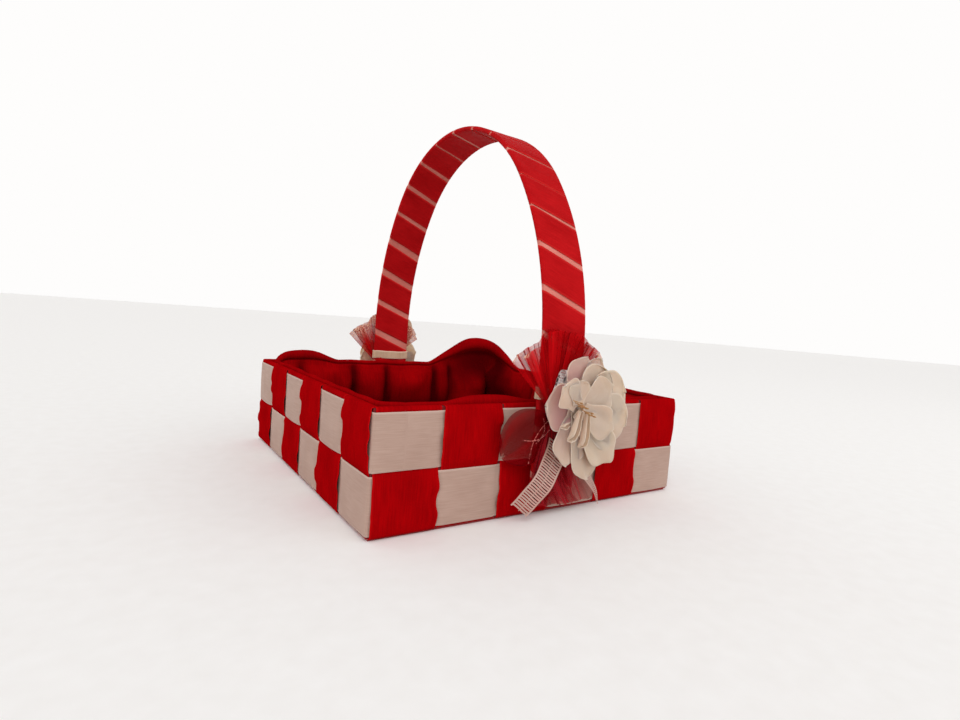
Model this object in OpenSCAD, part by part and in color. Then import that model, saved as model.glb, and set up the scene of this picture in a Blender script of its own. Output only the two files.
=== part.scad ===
// Flower girl basket: a square tray of stiff boards, woven over with satin ribbon and
// lined with satin. A band handle wound with ribbon stands outside the front and back
// walls, and a tulle, mesh-ribbon and blossom decoration covers each of its feet.
// Millimetres, +Z up. The origin is the centre of the flat underside. X runs along the
// front wall to the right, and Y runs from the front wall to the back wall.

/* [Tray] */
// Upright ribbons along each wall, an even number
columns = 6; // [4:2:6]
// Width of one column of the weave
column_w = 38; // [30:1:46]
// Height of one row of the weave
row_h = 31.5; // [26:0.5:38]
// Thickness of the wall boards and the base board
board_t = 3; // [2:0.5:4]
// Thickness of the felt cover under the base
cover_t = 1; // [0.6:0.1:2]
// Bare strip of wall board above the upper row
rim_margin = 1; // [0.5:0.5:3]

/* [Ribbon] */
// Thickness of the satin ribbon
ribbon_t = 0.5; // [0.3:0.1:0.6]
// Space left at each edge of a ribbon where it dives under its neighbour
edge_gap = 0.9; // [0.8:0.1:1.5]
// Length of upright ribbon tucked under the base, and again inside the rim
tuck = 12; // [8:1:16]

/* [Lining] */
// Thickness of the gathered lining
lining_t = 3; // [2:0.5:5]
// Height of the lining's rolled edge above the wall boards
lining_roll = 3; // [1.5:0.5:6]
// Rise of the puffed lining above the rim at the back right corner
corner_puff = 28; // [15:1:34]
// Rise of the puffed lining above the rim near the back left corner
side_puff = 10; // [6:1:16]

/* [Handle] */
// Width of the handle's core strip
core_w = 32; // [26:1:38]
// Thickness of the handle's core strip
core_t = 2; // [1.5:0.5:3]
// Height above the walls at which the legs start to lean in
leg_rise = 31; // [20:1:60]
// How much taller than a half circle the arch is
arch_extra = 31; // [0:1:40]
// Height of the handle's feet above the underside
foot_z = 10; // [6:1:16]
// Thickness of the ribbon wound round the core
wrap_t = 0.5; // [0.3:0.1:0.8]
// Thickness of the glue pad behind each foot
glue_t = 0.4; // [0.3:0.1:0.8]
// Width of the ribbon tied round each leg
tie_h = 7; // [5:0.5:10]

/* [Decoration] */
// Sideways place of the knot
knot_x = -9; // [-14:1:-6]
// Depth of the knot's centre below the top of the walls
knot_drop = 5; // [0:1:10]
// Radius of the knot
knot_r = 5.5; // [4:0.5:7]
// Length of the upper tulle fan
fan_r = 49; // [36:1:56]
// Radius of the side loop of tulle
loop_r = 14; // [9:1:15]
// Thickness of the gathered tulle
tulle_t = 4; // [2:0.5:5]
// Width of the mesh ribbon
mesh_w = 15; // [9:1:18]
// Sideways place of the blossom's centre
blossom_x = 10; // [4:1:16]
// Sideways place of the blossom's heart, where the inner petals and the stamens start
heart_x = -5; // [-10:1:2]
// Length of an outer petal, from the blossom's centre
petal_len = 37; // [28:1:40]
// Length of an inner petal, from the blossom's heart
inner_petal_len = 20; // [14:1:24]
// Thickness of a cupped layer of petals
petal_layer_t = 6; // [3:0.5:8]
// Length of the stamens
stamen_len = 9; // [6:1:12]

/* [Fits] */
// Clearance between neighbouring pieces
gap = 0.1; // [0.05:0.05:0.15]
// Clearance between loose soft pieces
soft_gap = 0.4; // [0.3:0.1:0.6]

/* [Hidden] */
rows = 2;
walls = 4;
wall_names = ["front", "right", "back", "left"];

// Tray levels and outline
side = columns * column_w;
half = side / 2;
wall_z = cover_t + 2 * gap + ribbon_t;
wall_top = wall_z + rows * row_h + rim_margin;
rim_z = wall_top + gap + ribbon_t;
cover_inset = 1;

// Distances outward from the wall boards' face
under_d = gap + ribbon_t / 2;
over_d = under_d + ribbon_t + gap;
woven_d = over_d + ribbon_t / 2;
step_len = 2 * (edge_gap - gap);

// Lining
lining_half = half - board_t - ribbon_t - 2 * gap;
lining_z = wall_z + board_t + gap;
lining_top = wall_top + lining_roll;
// Each puff of lining: its centre, its height above the rim, and how far it spreads
puffs = [
    [lining_half - 15, lining_half - 10, corner_puff, 58],
    [28 - lining_half, lining_half - lining_t / 2, side_puff, 30]
];

// Handle
core_d = woven_d + glue_t + wrap_t + 3 * gap;
handle_d = core_d + core_t + gap + wrap_t;
handle_w = core_w + 2 * (gap + wrap_t);
// The arch has three centres: two side arcs, and a crown that meets them at 3-4-5 slopes
spring_z = wall_top + leg_rise;
mid_d = core_d + core_t / 2;
span_r = half + mid_d;
side_r = span_r + 2 * arch_extra;
crown_r = side_r - 2.5 * arch_extra;
crown_z = spring_z + 1.5 * arch_extra;
slope = [0.8, 0.6];
glue_w = core_w - 6;
glue_h = wall_top / 2;
tie_z = lining_top + gap;
tie_t = 0.5;

// Decoration, in front of the handle's foot
tulle_d = handle_d + gap + tie_t + soft_gap;
knot_z = wall_top - knot_drop;
knot_d = handle_d + soft_gap + knot_r;
sector_r = sqrt(pow(knot_r, 2) - pow(max(knot_d - tulle_d - tulle_t, 0), 2)) + soft_gap;
tail_end_z = 7;
tail_r = knot_z - tail_end_z;
loop_clear = 5;
loop_angle = 214;
mesh_t = 0.6;
mesh_d = tulle_d + tulle_t + soft_gap;
mesh_depth = knot_d + knot_r - mesh_d;
mesh_loop_h = 14;
petals_d = knot_d + knot_r + soft_gap;
inner_petals_d = petals_d + petal_layer_t + soft_gap;
stamen_d = inner_petals_d + petal_layer_t + soft_gap;
blossom_z = wall_top - 5;
heart_z = wall_top + 2;
petals = 5;

arc_step = 5;
sleeve_fn = 96;

function upright_name(w, k) = str(wall_names[w], "_upright_", k + 1);

satin_red = "firebrick";
satin_cream = "antiquewhite";

// ---- Ribbon paths ----

function unit(v) = v / norm(v);
function left_of(v) = [-v[1], v[0]];

// A corner between the directions a and b, moved sideways by d with a mitre
function mitred(p, a, b, d) =
    let (m = left_of(a) + left_of(b))
    p + m * (2 * d / (m * m));

// Point i of an open path, moved sideways by d
function open_side(path, i, d) =
    let (last = len(path) - 2)
    mitred(
        path[i],
        unit(path[max(i, 1)] - path[max(i, 1) - 1]),
        unit(path[min(i, last) + 1] - path[min(i, last)]),
        d
    );

// Point i of a closed path, moved sideways by d
function ring_side(path, i, d) =
    let (n = len(path), before = path[(i + n - 1) % n], after = path[(i + 1) % n])
    mitred(path[i], unit(path[i] - before), unit(after - path[i]), d);

// Outline of a ribbon of thickness t, seen on edge, along an open path
function strip(path, t) = concat(
    [for (i = [0:len(path) - 1]) open_side(path, i, t / 2)],
    [for (i = [len(path) - 1:-1:0]) open_side(path, i, -t / 2)]
);

// The weave: an upright lies over the band where column plus row is even
function woven_over(k, r) = (k + r) % 2 == 0;
function upright_d(k, r) = woven_over(k, r) ? over_d : under_d;
function band_d(k, r) = woven_over(k, r) ? under_d : over_d;
function row_z(r) = wall_z + r * row_h;

// An upright of the front wall, seen from its edge as [y, z]: the tail under the base,
// the face with its steps between rows, the fold over the rim and the tail inside
function upright_path(k) =
    let (
        tail_z = wall_z - gap - ribbon_t / 2,
        fold_z = wall_top + gap + ribbon_t / 2,
        inside_y = -half + board_t + gap + ribbon_t / 2
    )
    concat(
        [[tuck - half, tail_z], [-half - upright_d(k, 0), tail_z]],
        [for (r = [1:rows - 1]) each [
            [-half - upright_d(k, r - 1), row_z(r) - step_len / 2],
            [-half - upright_d(k, r), row_z(r) + step_len / 2]
        ]],
        [[-half - upright_d(k, rows - 1), fold_z], [inside_y, fold_z]],
        [[inside_y, fold_z - tuck]]
    );

// A point of the front wall carried round to wall w
function on_wall(w, p) = [p, [-p[1], p[0]], -p, [p[1], -p[0]]][w];

// A band of row r, seen from above, all the way round the tray
function band_path(r) = [
    for (w = [0:walls - 1]) each concat(
        [on_wall(w, [-half - band_d(columns - 1, r), -half - band_d(0, r)])],
        [for (k = [1:columns - 1]) each [
            on_wall(w, [k * column_w - half - step_len / 2, -half - band_d(k - 1, r)]),
            on_wall(w, [k * column_w - half + step_len / 2, -half - band_d(k, r)])
        ]]
    )
];

// ---- Tray ----

module base_cover() {
    color(satin_red)
        translate([cover_inset - half, cover_inset - half, 0])
            cube([side - 2 * cover_inset, side - 2 * cover_inset, cover_t]);
}

module base_board() {
    width = side - 2 * board_t - 2 * gap;
    color("tan")
        translate([-width / 2, -width / 2, wall_z])
            cube([width, width, board_t]);
}

module wall_board(w) {
    length = w % 2 == 0 ? side : side - 2 * board_t - 2 * gap;
    color("tan")
        rotate([0, 0, 90 * w])
            translate([-length / 2, -half, wall_z])
                cube([length, board_t, wall_top - wall_z]);
}

// Everything of the front wall between the two corner mitres
module mitre_wedge() {
    reach = half + 20;
    translate([0, -2 * gap, 0])
        linear_extrude(rim_z + 1)
            polygon([[0, 0], [-reach, -reach], [reach, -reach]]);
}

module upright(w, k) {
    color(satin_red)
        rotate([0, 0, 90 * w])
            intersection() {
                translate([k * column_w - half + edge_gap, 0, 0])
                    rotate([90, 0, 90])
                        linear_extrude(column_w - 2 * edge_gap)
                            polygon(strip(upright_path(k), ribbon_t));
                mitre_wedge();
            }
}

module band(r) {
    path = band_path(r);
    band_h = row_h - 2 * edge_gap;
    outline = [for (i = [0:len(path) - 1]) ring_side(path, i, -ribbon_t / 2)];
    inline = [for (i = [0:len(path) - 1]) ring_side(path, i, ribbon_t / 2)];
    color(satin_cream)
        translate([0, 0, row_z(r) + edge_gap])
            difference() {
                linear_extrude(band_h) polygon(outline);
                translate([0, 0, -1]) linear_extrude(band_h + 2) polygon(inline);
            }
}

// ---- Lining ----

module square_ring(outer_half, t, z, h) {
    inner = 2 * (outer_half - t);
    difference() {
        translate([-outer_half, -outer_half, z])
            cube([2 * outer_half, 2 * outer_half, h]);
        translate([-inner / 2, -inner / 2, z - 1])
            cube([inner, inner, h + 2]);
    }
}

// A puff stands on the lining's edge and follows a ball that is `spread` wide at the rim
module lining_puff(x, y, rise, spread) {
    ball_r = (spread * spread + rise * rise) / (2 * rise);
    intersection() {
        square_ring(lining_half, lining_t, wall_top - 1, rise + 2);
        translate([x, y, wall_top + rise - ball_r])
            sphere(r = ball_r, $fn = sleeve_fn);
    }
}

module lining() {
    color(satin_red)
        union() {
            square_ring(lining_half, lining_t, lining_z, lining_top - lining_z);
            translate([-lining_half, -lining_half, lining_z])
                cube([2 * lining_half, 2 * lining_half, lining_t]);
            for (puff = puffs)
                lining_puff(puff[0], puff[1], puff[2], puff[3]);
        }
}

// ---- Handle ----

// Part of a ring of flat band, from radius r_in to r_out, between two directions
module band_turn(width, r_in, r_out, start, end) {
    reach = 2 * r_out;
    intersection() {
        rotate([0, 0, -90])
            rotate_extrude($fn = sleeve_fn)
                translate([r_in, -width / 2])
                    square([r_out - r_in, width]);
        translate([0, 0, -width])
            linear_extrude(2 * width)
                polygon([[0, 0], reach * start, reach * end]);
    }
}

// An arch of flat band: d_in and d_out are its faces' distances from the wall boards
module arch_band(width, d_in, d_out, low_z) {
    inner = d_in - mid_d;
    outer = d_out - mid_d;
    rotate([90, 0, 90]) {
        translate([0, crown_z, 0])
            band_turn(width, crown_r + inner, crown_r + outer, slope, [-slope.x, slope.y]);
        for (mirrored = [0, 1])
            mirror([mirrored, 0, 0]) {
                translate([span_r - side_r, spring_z, 0])
                    band_turn(width, side_r + inner, side_r + outer, [1, 0], slope);
                translate([half + d_in, low_z, -width / 2])
                    cube([d_out - d_in, spring_z - low_z, width]);
            }
    }
}

module handle_core() {
    color(satin_cream)
        arch_band(core_w, core_d, core_d + core_t, foot_z);
}

module handle_wrap() {
    color("crimson")
        difference() {
            arch_band(handle_w, core_d - gap - wrap_t, handle_d, foot_z);
            arch_band(core_w + 2 * gap, core_d - gap, core_d + core_t + gap, foot_z - 1);
        }
}

// Everything on the back is the front's mirror image
module at(place) {
    mirror([0, place == "back" ? 1 : 0, 0])
        children();
}

module glue_pad() {
    color("ivory")
        translate([-glue_w / 2, -half - woven_d - gap - glue_t, foot_z])
            cube([glue_w, glue_t, glue_h]);
}

module foot_tie() {
    inner_w = handle_w + 2 * gap;
    inner_d = handle_d - core_d + wrap_t + 3 * gap;
    color(satin_cream)
        translate([0, -half - handle_d - gap, tie_z])
            difference() {
                translate([-inner_w / 2 - tie_t, -tie_t, 0])
                    cube([inner_w + 2 * tie_t, inner_d + 2 * tie_t, tie_h]);
                translate([-inner_w / 2, 0, -1])
                    cube([inner_w, inner_d, tie_h + 2]);
            }
}

// ---- Decoration ----

// Draws its children flat on the wall as [x, z], t thick, from d outward
module flat_on_wall(d, t) {
    translate([0, -half - d, 0])
        rotate([90, 0, 0])
            linear_extrude(t)
                children();
}

function arc(r, from, to) = [for (i = [0:ceil((to - from) / arc_step)])
    r * [cos(min(from + i * arc_step, to)), sin(min(from + i * arc_step, to))]];

function reversed(points) = [for (i = [len(points) - 1:-1:0]) points[i]];

module fan_shape(r, from, to) {
    translate([knot_x, knot_z])
        polygon(concat(arc(r, from, to), reversed(arc(sector_r, from, to))));
}

module tulle_fan() {
    color("red")
        flat_on_wall(tulle_d, tulle_t)
            fan_shape(fan_r, 39, 137);
}

module tulle_tail() {
    color("red")
        flat_on_wall(tulle_d, tulle_t)
            fan_shape(tail_r, -98, -54);
}

// The loop lies beside the knot, below the fan
module tulle_loop() {
    reach = sector_r + loop_r + loop_clear;
    color("red")
        flat_on_wall(tulle_d, tulle_t)
            translate([knot_x, knot_z] + reach * [cos(loop_angle), sin(loop_angle)])
                circle(r = loop_r, $fn = sleeve_fn);
}

module tulle_knot() {
    color("darkred")
        translate([knot_x, -half - knot_d, knot_z])
            sphere(r = knot_r, $fn = 48);
}

// A loop of mesh ribbon, standing on edge between the tulle and the blossom
module mesh_loop() {
    bend_r = mesh_depth / 2;
    color("silver")
        translate([heart_x - mesh_w / 2, -half - mesh_d - bend_r, wall_top + mesh_loop_h])
            rotate([90, 0, 90])
                linear_extrude(mesh_w)
                    difference() {
                        loop_outline(bend_r);
                        loop_outline(bend_r - mesh_t);
                    }
}

module loop_outline(r) {
    straight = mesh_loop_h - mesh_depth;
    for (end = [-1, 1])
        translate([0, end * straight / 2])
            circle(r = r, $fn = 48);
    translate([-r, -straight / 2])
        square([2 * r, straight]);
}

// A flat tail of ribbon between two points of the wall, tapering from w0 to w1
module ribbon_tail(a, b, w0, w1) {
    across = left_of(unit(b - a)) / 2;
    color("silver")
        flat_on_wall(mesh_d, mesh_t)
            polygon([a + across * w0, a - across * w0, b - across * w1, b + across * w1]);
}

module mesh_tail() {
    ribbon_tail([knot_x + 4, knot_z - 19], [knot_x - 20, tail_end_z + 1], mesh_w, mesh_w);
}

module mesh_point() {
    ribbon_tail([knot_x + 21, knot_z - 31], [knot_x + 42, tail_end_z - 3], 0.4 * mesh_w, 1);
}

// A layer of rounded petals round the point [x, z]
module petal_layer(x, z, d, length, first_angle) {
    petal_r = length * 0.46;
    color("linen")
        flat_on_wall(d, petal_layer_t)
            translate([x, z]) {
                circle(r = length / 2, $fn = 48);
                for (i = [0:petals - 1])
                    rotate(first_angle + i * 360 / petals)
                        translate([length - petal_r, 0])
                            circle(r = petal_r, $fn = 48);
            }
}

module outer_petals() {
    petal_layer(blossom_x, blossom_z, petals_d, petal_len, 90);
}

module inner_petals() {
    petal_layer(heart_x, heart_z, inner_petals_d, inner_petal_len, 54);
}

module stamens() {
    color("wheat")
        flat_on_wall(stamen_d, stamen_len)
            translate([heart_x, heart_z])
                circle(r = inner_petal_len / 4, $fn = 48);
}

// ---- Nodes ----

base_cover();
base_board();
for (w = [0:walls - 1])
    wall_board(w);
for (w = [0:walls - 1], k = [0:columns - 1])
    upright(w, k);
band(0);  // lower_band
band(1);  // upper_band
lining();
handle_core();
handle_wrap();
for (place = ["front", "back"]) {
    at(place) glue_pad();
    at(place) foot_tie();
    at(place) tulle_fan();
    at(place) tulle_loop();
    at(place) tulle_tail();
    at(place) tulle_knot();
    at(place) mesh_loop();
    at(place) mesh_tail();
    at(place) mesh_point();
    at(place) outer_petals();
    at(place) inner_petals();
    at(place) stamens();
}
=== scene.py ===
# %% [markdown]
# # A flower girl basket
# The basket is a square tray of stiff boards, woven over with red and cream satin ribbon
# and lined with gathered red satin. A band handle wound with ribbon stands outside two
# walls, and a bunch of tulle, mesh ribbon and fabric petals covers each of its feet.
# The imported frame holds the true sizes, so every measure below starts from its boxes.

# %% Load the frame
import math

import bpy
import numpy as np
from mathutils import Matrix, Vector


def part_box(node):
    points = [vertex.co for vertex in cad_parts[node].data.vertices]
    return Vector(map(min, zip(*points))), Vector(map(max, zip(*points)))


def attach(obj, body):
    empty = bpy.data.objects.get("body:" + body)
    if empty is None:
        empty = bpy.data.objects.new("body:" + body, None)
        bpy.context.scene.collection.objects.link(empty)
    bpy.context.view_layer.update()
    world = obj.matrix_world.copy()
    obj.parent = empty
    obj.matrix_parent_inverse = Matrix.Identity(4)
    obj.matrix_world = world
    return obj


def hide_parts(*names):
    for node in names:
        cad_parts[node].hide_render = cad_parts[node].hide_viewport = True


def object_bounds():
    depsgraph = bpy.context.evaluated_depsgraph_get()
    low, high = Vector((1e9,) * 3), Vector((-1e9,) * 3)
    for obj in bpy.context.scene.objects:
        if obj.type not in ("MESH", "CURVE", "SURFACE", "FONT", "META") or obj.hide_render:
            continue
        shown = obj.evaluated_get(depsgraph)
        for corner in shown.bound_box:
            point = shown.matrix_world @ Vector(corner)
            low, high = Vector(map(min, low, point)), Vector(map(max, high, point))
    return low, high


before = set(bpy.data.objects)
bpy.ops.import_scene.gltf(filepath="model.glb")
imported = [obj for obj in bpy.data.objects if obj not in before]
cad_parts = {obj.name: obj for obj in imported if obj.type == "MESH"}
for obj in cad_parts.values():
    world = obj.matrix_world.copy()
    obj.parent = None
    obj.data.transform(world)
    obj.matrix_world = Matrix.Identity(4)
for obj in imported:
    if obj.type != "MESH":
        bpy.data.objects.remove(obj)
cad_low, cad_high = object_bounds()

MM = 0.001
print("frame:", len(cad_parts), "nodes,", [round(s / MM) for s in cad_high - cad_low], "mm")

# %% [markdown]
# ## Camera
# The camera stands low and close, in front of the tray's left corner, and leans a little.
# A short lens this close makes the near corner large and the far handle leg small.

# %% Camera
camera_place = Vector((-0.2188, -0.3531, 0.1116))
heading = math.radians(34.34)
dip = math.radians(4.24)
lean = math.radians(4.35)

forward = Vector((
    math.sin(heading) * math.cos(dip), math.cos(heading) * math.cos(dip), -math.sin(dip)
))
level_right = Vector((math.cos(heading), -math.sin(heading), 0))
level_up = level_right.cross(forward)
camera_right = level_right * math.cos(lean) + level_up * math.sin(lean)
camera_up = level_up * math.cos(lean) - level_right * math.sin(lean)

camera_data = bpy.data.cameras.new("camera")
camera_data.sensor_width = 36
camera_data.lens = 20.45
camera_data.clip_start = 0.01
camera = bpy.data.objects.new("camera", camera_data)
bpy.context.scene.collection.objects.link(camera)
axes = Matrix((camera_right, camera_up, -forward)).transposed()
camera.matrix_world = Matrix.Translation(camera_place) @ axes.to_4x4()
bpy.context.scene.camera = camera
bpy.context.scene.view_settings.view_transform = "Standard"
print("camera looks along", [round(a, 2) for a in forward])

# %% [markdown]
# ## Materials: shared helpers
# Every finish is a small network of nodes. One function adds a node: it sets the node's
# options, links the inputs that are given a socket, and sets the others as numbers.
# Colours are written as sRGB hex, as a paint chart gives them, and turned to linear.

# %% Node helpers
def colour(code):
    """The linear colour of an sRGB hex code such as "8c1216"."""
    parts = [int(code[i:i + 2], 16) / 255 for i in (0, 2, 4)]
    linear = [p / 12.92 if p <= 0.04045 else ((p + 0.055) / 1.055) ** 2.4 for p in parts]
    return (*linear, 1.0)


def add(tree, kind, inputs=(), **options):
    """Adds a shader node. An input given a socket is linked, and any other is set."""
    node = tree.nodes.new("ShaderNode" + kind)
    for name, value in options.items():
        setattr(node, name, value)
    for name, value in dict(inputs).items():
        if isinstance(value, bpy.types.NodeSocket):
            tree.links.new(value, node.inputs[name])
        else:
            node.inputs[name].default_value = value
    return node


def new_material(name):
    """An empty material and its node tree."""
    material = bpy.data.materials.new(name)
    material.use_nodes = True
    material.node_tree.nodes.clear()
    return material, material.node_tree


MIX_LOW, MIX_HIGH, MIX_RESULT = 6, 7, 2  # the mix node's sockets for colours


def blend_colours(tree, share, low, high):
    """A colour that goes from `low` to `high` with the socket `share`."""
    sockets = {"Factor": share, MIX_LOW: low, MIX_HIGH: high}
    return add(tree, "Mix", sockets, data_type="RGBA").outputs[MIX_RESULT]


def maths(tree, operation, first, second):
    return add(tree, "Math", {0: first, 1: second}, operation=operation).outputs[0]


def mark(tree, name):
    """The mark that each point of a cloth carries: `edge` or `tint`."""
    return add(tree, "Attribute", attribute_name=name).outputs["Fac"]


def on_cloth(tree):
    return add(tree, "UVMap", uv_map="cloth").outputs[0]


def stretched_noise(tree, place, across, along, detail=2.0):
    """Noise whose grains are `across` by `along` metres, drawn on the cloth."""
    sized = add(tree, "Mapping", {"Vector": place, "Scale": (1 / across, 1 / along, 1 / across)})
    noise = add(tree, "TexNoise", {"Vector": sized.outputs[0], "Scale": 1.0, "Detail": detail})
    return noise.outputs[0]


def close(tree, bump, **surface):
    """Ends a material with a shader whose plain values are set on its own sockets."""
    inputs = {name.replace("_", " "): value for name, value in surface.items()}
    if bump is not None:
        inputs["Normal"] = bump
    shader = add(tree, "BsdfPrincipled", inputs)
    add(tree, "OutputMaterial", {"Surface": shader.outputs[0]})


print("helpers ready")

# %% [markdown]
# ## Floor and light
# A wide pale floor and pale walls keep the eye on the basket. One broad soft light comes
# from high in front, to the left, and a weaker softbox fills in from the right. The
# surround is bright low down and dim overhead, as in a room, so the tray's inside is dark.

# %% Floor
def floor_paper():
    # Seamless paper: matt, with a grain too faint to see, so it only catches shadows
    material, tree = new_material("pale_paper")
    place = add(tree, "TexCoord").outputs["Object"]
    grain = stretched_noise(tree, place, 0.01, 0.01)
    shade = blend_colours(tree, grain, colour("f2f0ee"), colour("f8f7f6"))
    close(tree, None, Base_Color=shade, Roughness=0.9, Specular_IOR_Level=0.1)
    return material


floor_size = 8.0
floor_mesh = bpy.data.meshes.new("floor")
corner_signs = ((-1, -1), (1, -1), (1, 1), (-1, 1))
floor_corners = [(x * floor_size, y * floor_size, 0) for x, y in corner_signs]
floor_mesh.from_pydata(floor_corners, [], [(0, 1, 2, 3)])
floor = bpy.data.objects.new("floor", floor_mesh)
floor.data.materials.append(floor_paper())
bpy.context.scene.collection.objects.link(floor)
print("floor", 2 * floor_size, "m wide")

# %% Lights
def aim(data, azimuth, elevation, distance):
    """Puts a light where it faces the middle of the basket."""
    light = bpy.data.objects.new(data.name, data)
    a, e = math.radians(azimuth), math.radians(elevation)
    out = Vector((math.sin(a) * math.cos(e), -math.cos(a) * math.cos(e), math.sin(e)))
    light.location = (cad_low + cad_high) / 2 + out * distance
    light.rotation_euler = (-out).to_track_quat("-Z", "Y").to_euler()
    bpy.context.scene.collection.objects.link(light)


key = bpy.data.lights.new("key_light", "SUN")
key.angle = math.radians(34)
key.energy = 1.0
aim(key, -38, 48, 1.4)

fill = bpy.data.lights.new("fill_light", "AREA")
fill.size = 1.0
fill.energy = 2
aim(fill, 35, 30, 1.6)

world = bpy.data.worlds.new("surround")
bpy.context.scene.world = world
world.use_nodes = True
room = world.node_tree
upward = add(room, "SeparateXYZ", {"Vector": add(room, "TexCoord").outputs["Generated"]})
glow = add(room, "MapRange", {
    "Value": upward.outputs["Z"], "From Min": 0.5, "From Max": 0.9, "To Min": 1.0, "To Max": 0.45,
})
room.nodes["Background"].inputs["Color"].default_value = colour("fefdfc")
room.links.new(glow.outputs[0], room.nodes["Background"].inputs["Strength"])
print("a broad key light, a softbox, pale walls and a dimmer ceiling")

# %% [markdown]
# ## Finishes
# Polyester satin is woven so that long warp threads lie side by side on its face. That
# gives smooth, faintly lined cloth with a soft glow instead of a hard highlight, and a
# paler, tighter thread at each selvage. A mark on each point says how near a selvage or
# cut edge it is, so the same finish draws its own edges, and another how much painted shade
# it carries: the lining is darkened in its creases and hollows and low down, where shade
# falls. The cloth coordinates are the true distances along and across each ribbon, in metres.

# %% Satin
# the painted shade colour: the lining is drawn towards it in its creases and hollows
PAINTED_FOLD_SHADE = "3c0104"
THREAD = 0.6 * MM  # a satin thread is about 0.15 mm; drawn this coarse so that it shows
FLOAT = 14 * MM  # how far a thread runs before its shade changes


def satin(name, face, shade, edge, coordinates="cloth", roughness=0.5, gloss=0.0):
    """Polyester satin ribbon: fine lines along it, a soft dyed glow and paler selvages."""
    material, tree = new_material(name)
    if coordinates == "cloth":
        place = on_cloth(tree)
    else:
        place = add(tree, "TexCoord").outputs["Object"]
    lines = stretched_noise(tree, place, THREAD, FLOAT)
    clouds = stretched_noise(tree, place, 18 * MM, 26 * MM, 3.0)
    uneven = maths(tree, "ADD", lines, clouds)
    share = add(tree, "MapRange", {"Value": uneven, "From Min": 0.75, "From Max": 1.3}).outputs[0]
    body = blend_colours(tree, share, colour(shade), colour(face))
    near_edge = mark(tree, "edge")
    edged = blend_colours(tree, near_edge, body, colour(edge))
    # painted shade: the lining's tint mark darkens the satin where shade falls
    painted_shade_share = mark(tree, "tint")
    whole = blend_colours(tree, painted_shade_share, edged, colour(PAINTED_FOLD_SHADE))
    bump = add(tree, "Bump", {"Height": lines, "Strength": 0.12, "Distance": 0.12 * MM})
    close(
        tree, bump.outputs[0], Base_Color=whole, Roughness=roughness, Specular_IOR_Level=gloss,
        Specular_Tint=colour(edge), IOR=1.54, Sheen_Weight=0.04, Sheen_Roughness=0.4,
        Sheen_Tint=colour(face),
    )
    return material


red_satin = satin("red_satin_ribbon", "a80308", "8c0206", "bc0a0e")
cream_satin = satin("cream_satin_ribbon", "b69a8d", "a98c7f", "c8aea2", gloss=0.1)
lining_satin = satin("red_lining_satin", "a20408", "820207", "a6080d", roughness=0.42)
wrap_satin = satin("red_wrap_ribbon", "bc161a", "a40e12", "cc2a28", gloss=0.01)
# The core is coloured salmon-pink: partly its own pink-cream, partly painted red light bounced
# from the winding around it.
core_satin = satin(
    "pink_core_ribbon", "d8867a", "c87064", "d8867a", coordinates="Object", gloss=0.1
)
tie_satin = satin("cream_tie_ribbon", "d6bca0", "c2a488", "e2ceb8", gloss=0.1)
print("six satins")

# %% [markdown]
# Tulle is a stiff net of nylon thread with holes about a millimetre wide. From here the
# holes are too fine to draw one by one, so the net is drawn as thin lines with air between
# them. Where pleats overlap, more thread is in the way, and the red grows deep by itself.
# Stretches of its edge are dusted with pale glitter, which the edge mark draws, and the
# other mark thins the net where it frays out.

# %% Tulle
def tulle(name, thread, deep, dust, thin, thick):
    """Nylon net: its shades, its glitter's colour and how much it covers, thin to thick."""
    material, tree = new_material(name)
    place = on_cloth(tree)
    streaks = stretched_noise(tree, place, 1.2 * MM, 80 * MM, 3.0)
    layers = stretched_noise(tree, place, 6 * MM, 90 * MM, 0.0)
    both = maths(tree, "ADD", streaks, layers)
    dense = add(tree, "MapRange", {"Value": both, "From Min": 0.7, "From Max": 1.3}).outputs[0]
    body = blend_colours(tree, dense, colour(deep), colour(thread))
    specks = stretched_noise(tree, place, 0.8 * MM, 0.8 * MM, 0.0)
    shown = maths(tree, "GREATER_THAN", specks, 0.5)
    near_edge = mark(tree, "edge")
    dusted = maths(tree, "MULTIPLY", near_edge, shown)
    whole = blend_colours(tree, dusted, body, colour(dust))
    net = add(
        tree, "MapRange",
        {"Value": both, "From Min": 0.6, "From Max": 1.4, "To Min": thin, "To Max": thick},
    ).outputs[0]
    airy = mark(tree, "tint")
    kept = maths(tree, "SUBTRACT", 1.0, airy)
    thinned = maths(tree, "MULTIPLY", net, kept)
    cover = maths(tree, "MAXIMUM", thinned, dusted)
    close(
        tree, None, Base_Color=whole, Alpha=cover, Roughness=0.6, Specular_IOR_Level=0.01,
        Specular_Tint=colour(thread), Sheen_Weight=0.03, Sheen_Roughness=0.4,
        Sheen_Tint=colour(thread),
    )
    return material


fan_net = tulle("red_tulle_pleated", "c40c12", "940308", "e8bca0", 0.62, 1.0)
loop_net = tulle("red_tulle_single", "8a060c", "6a0208", "c98a80", 0.42, 0.8)
tail_net = tulle("red_tulle_hanging", "a8262e", "78060c", "c98a80", 0.62, 0.95)
# painted shade: the knot is the same red net, coloured near black-red, far darker than its thread,
# for the shade in the gathered knot
knot_net = tulle("red_tulle_knotted", "440206", "280104", "5c0a0c", 0.95, 1.0)
print("four weights of tulle")

# %% [markdown]
# The mesh ribbon is woven from metallised film. Its threads are built as geometry, so this
# finish only has to be the film: silvery, with a painted pink reflection of the red around it.

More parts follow.
